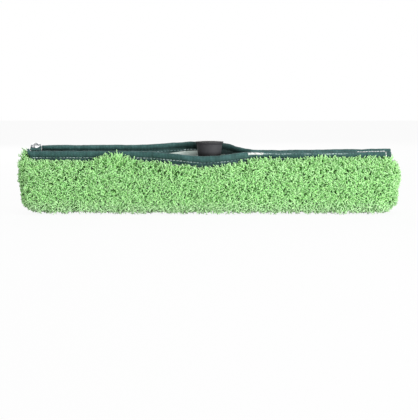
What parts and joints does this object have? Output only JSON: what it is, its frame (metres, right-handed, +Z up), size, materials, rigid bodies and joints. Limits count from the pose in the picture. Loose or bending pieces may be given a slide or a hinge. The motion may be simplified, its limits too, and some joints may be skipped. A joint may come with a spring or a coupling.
{
  "type": "window scrubber",
  "caption": "Window washer head: green pile sleeve with a bound slit and press stud on a hidden T-bar, with a swivelling flared pole socket.",
  "frame": {"origin": "on the floor under the middle of the sleeve's base", "axes": "+X along the bar towards the sewn end of the slit, -Y to the front, +Z up through the pole socket"},
  "size_m": [0.4598, 0.0556, 0.0866],
  "materials": {
    "green_pile": "deep matte microfibre pile",
    "pale_lining": "matte woven backing cloth",
    "teal_binding": "matte ribbed polyester tape",
    "grey_plastic": "fine matte moulded",
    "black_plastic": "matte moulded",
    "arm_aluminium": "drawn tube, satin",
    "steel": "zinc-plated",
    "nylon": "natural nylon",
    "stud_chrome": "bright plated"
  },
  "bodies": {
    "head": {"left_arm": "arm_aluminium", "right_arm": "arm_aluminium", "swivel_hub": "black_plastic", "left_end_cap": "black_plastic", "right_end_cap": "black_plastic", "arm_rivets": "steel", "pivot_bolt": "steel", "pivot_nut": "steel", "pivot_washers": "steel", "friction_discs": "nylon", "pile_sleeve": "green_pile", "sleeve_lining": "pale_lining", "left_end_panel": "green_pile", "right_end_panel": "green_pile", "front_binding": "teal_binding", "rear_binding": "teal_binding", "stud_tab": "teal_binding", "snap_stud": "stud_chrome", "snap_post": "stud_chrome"},
    "socket": {"pole_socket": "grey_plastic"},
    "tab": {"closure_tab": "teal_binding", "snap_cap": "stud_chrome", "snap_socket": "stud_chrome"}
  },
  "joints": [
    {"name": "socket_swivel", "type": "hinge", "parent": "head", "child": "socket", "pos_m": [0, 0, 0.0483], "axis": [0, 1, 0], "range_deg": [-30, 30]},
    {"name": "closure_tab_lift", "type": "hinge", "parent": "head", "child": "tab", "pos_m": [-0.2098, -0.00547, 0.07617], "axis": [1, 0, 0], "range_deg": [0, 75]}
  ]
}
